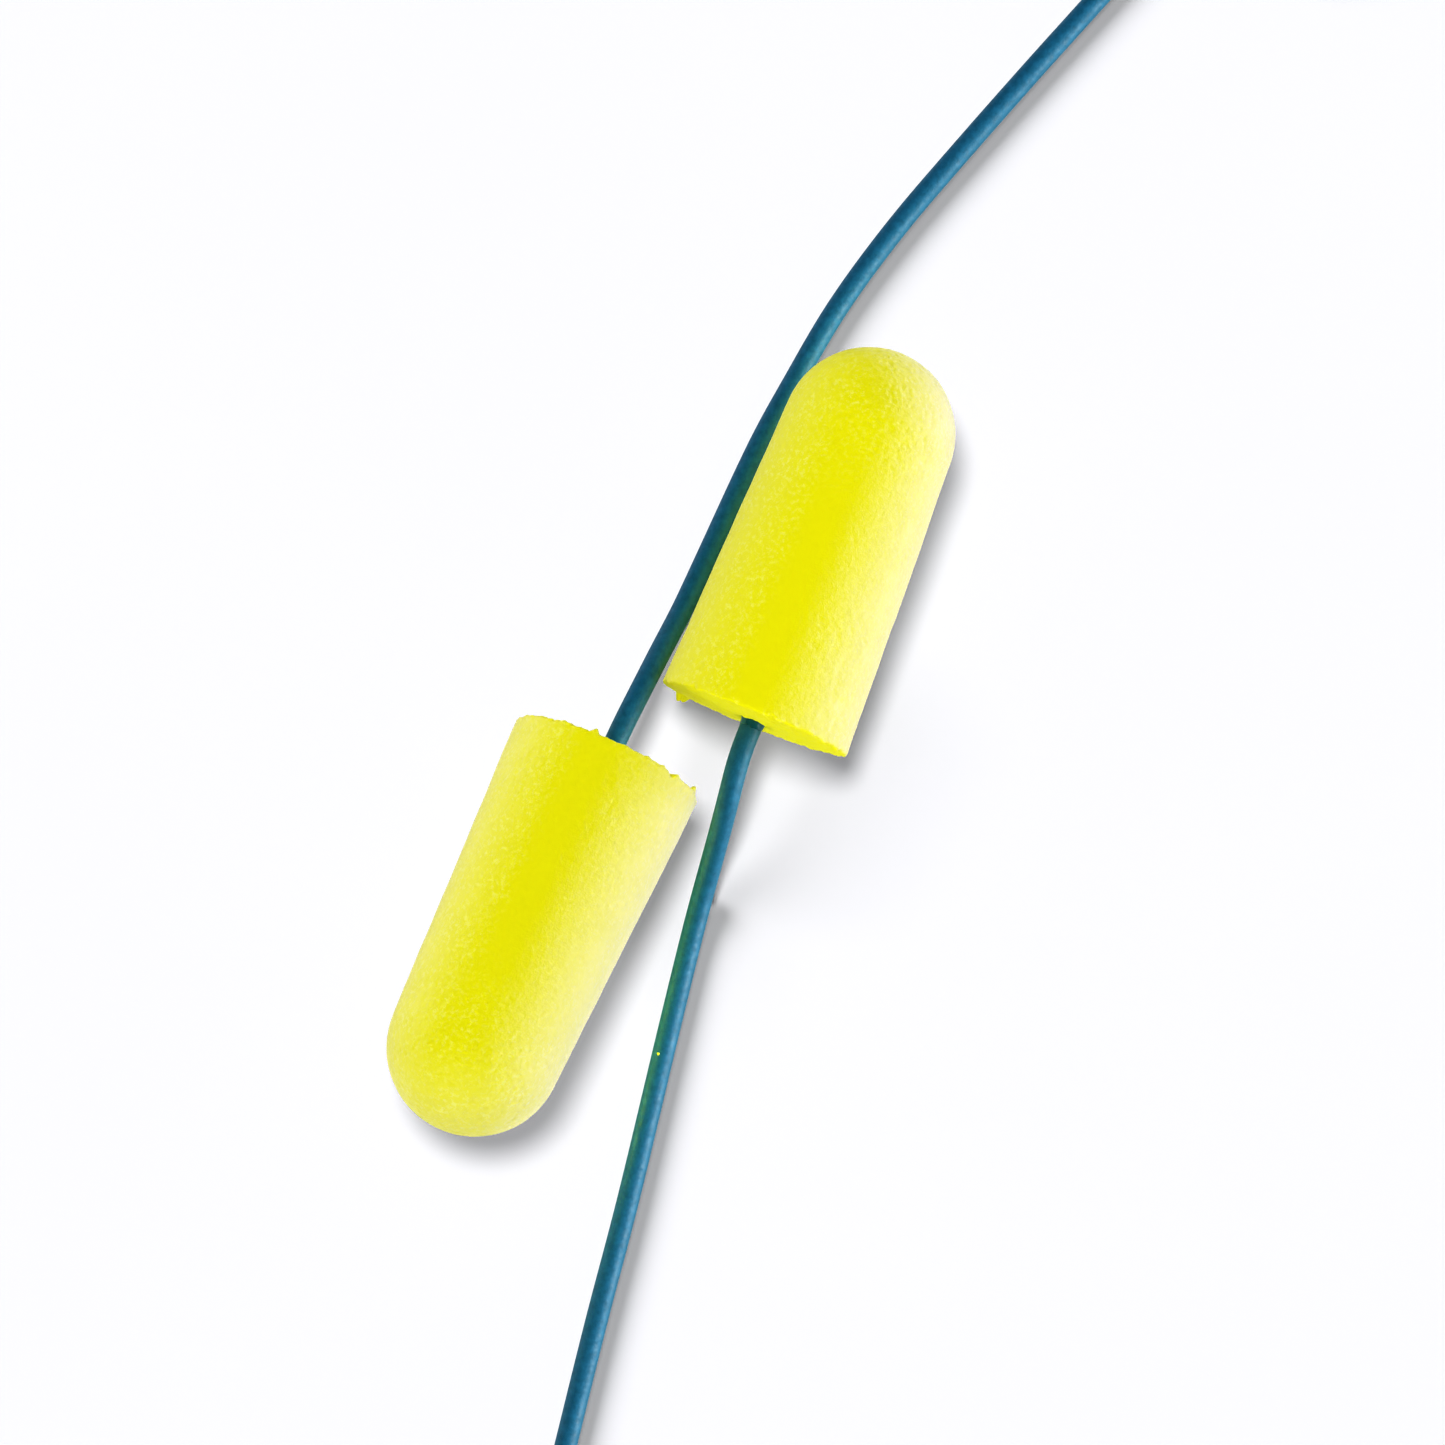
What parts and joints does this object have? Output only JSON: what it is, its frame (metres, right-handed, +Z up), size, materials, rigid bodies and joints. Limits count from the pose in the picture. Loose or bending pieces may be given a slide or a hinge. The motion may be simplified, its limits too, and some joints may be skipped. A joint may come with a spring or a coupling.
{
  "type": "corded foam ear plugs",
  "caption": "Bullet-shaped yellow foam ear plugs joined by a thin blue cord, with the spare cord wound in a small tied coil.",
  "frame": {"origin": "on the table, in the middle of the box around the two plugs", "axes": "+Z up, +Y from the left plug towards the right plug's tip along the plugs' longer extent, +X to the right of it"},
  "size_m": [0.0709, 0.1215, 0.0135],
  "materials": {
    "foam": "matte",
    "cord": "satin",
    "glue": "satin",
    "tie": "satin"
  },
  "bodies": {
    "cord": {"cord_run_left": "cord", "cord_run_right": "cord", "cord_coil": "cord", "coil_tie": "tie"},
    "plug_left": {"foam_plug_left": "foam", "glue_bond_left": "glue", "cord_end_left": "cord"},
    "plug_right": {"foam_plug_right": "foam", "glue_bond_right": "glue", "cord_end_right": "cord"}
  },
  "joints": [
    {"name": "plug_left_swing", "type": "hinge", "parent": "cord", "child": "plug_left", "pos_m": [-0.00309, 0.00118, 0.00593], "axis": [0, 0, 1], "range_deg": [-60, 8]},
    {"name": "plug_right_swing", "type": "hinge", "parent": "cord", "child": "plug_right", "pos_m": [0.00417, -0.00082, 0.00606], "axis": [0, 0, 1], "range_deg": [-60, 0]}
  ]
}
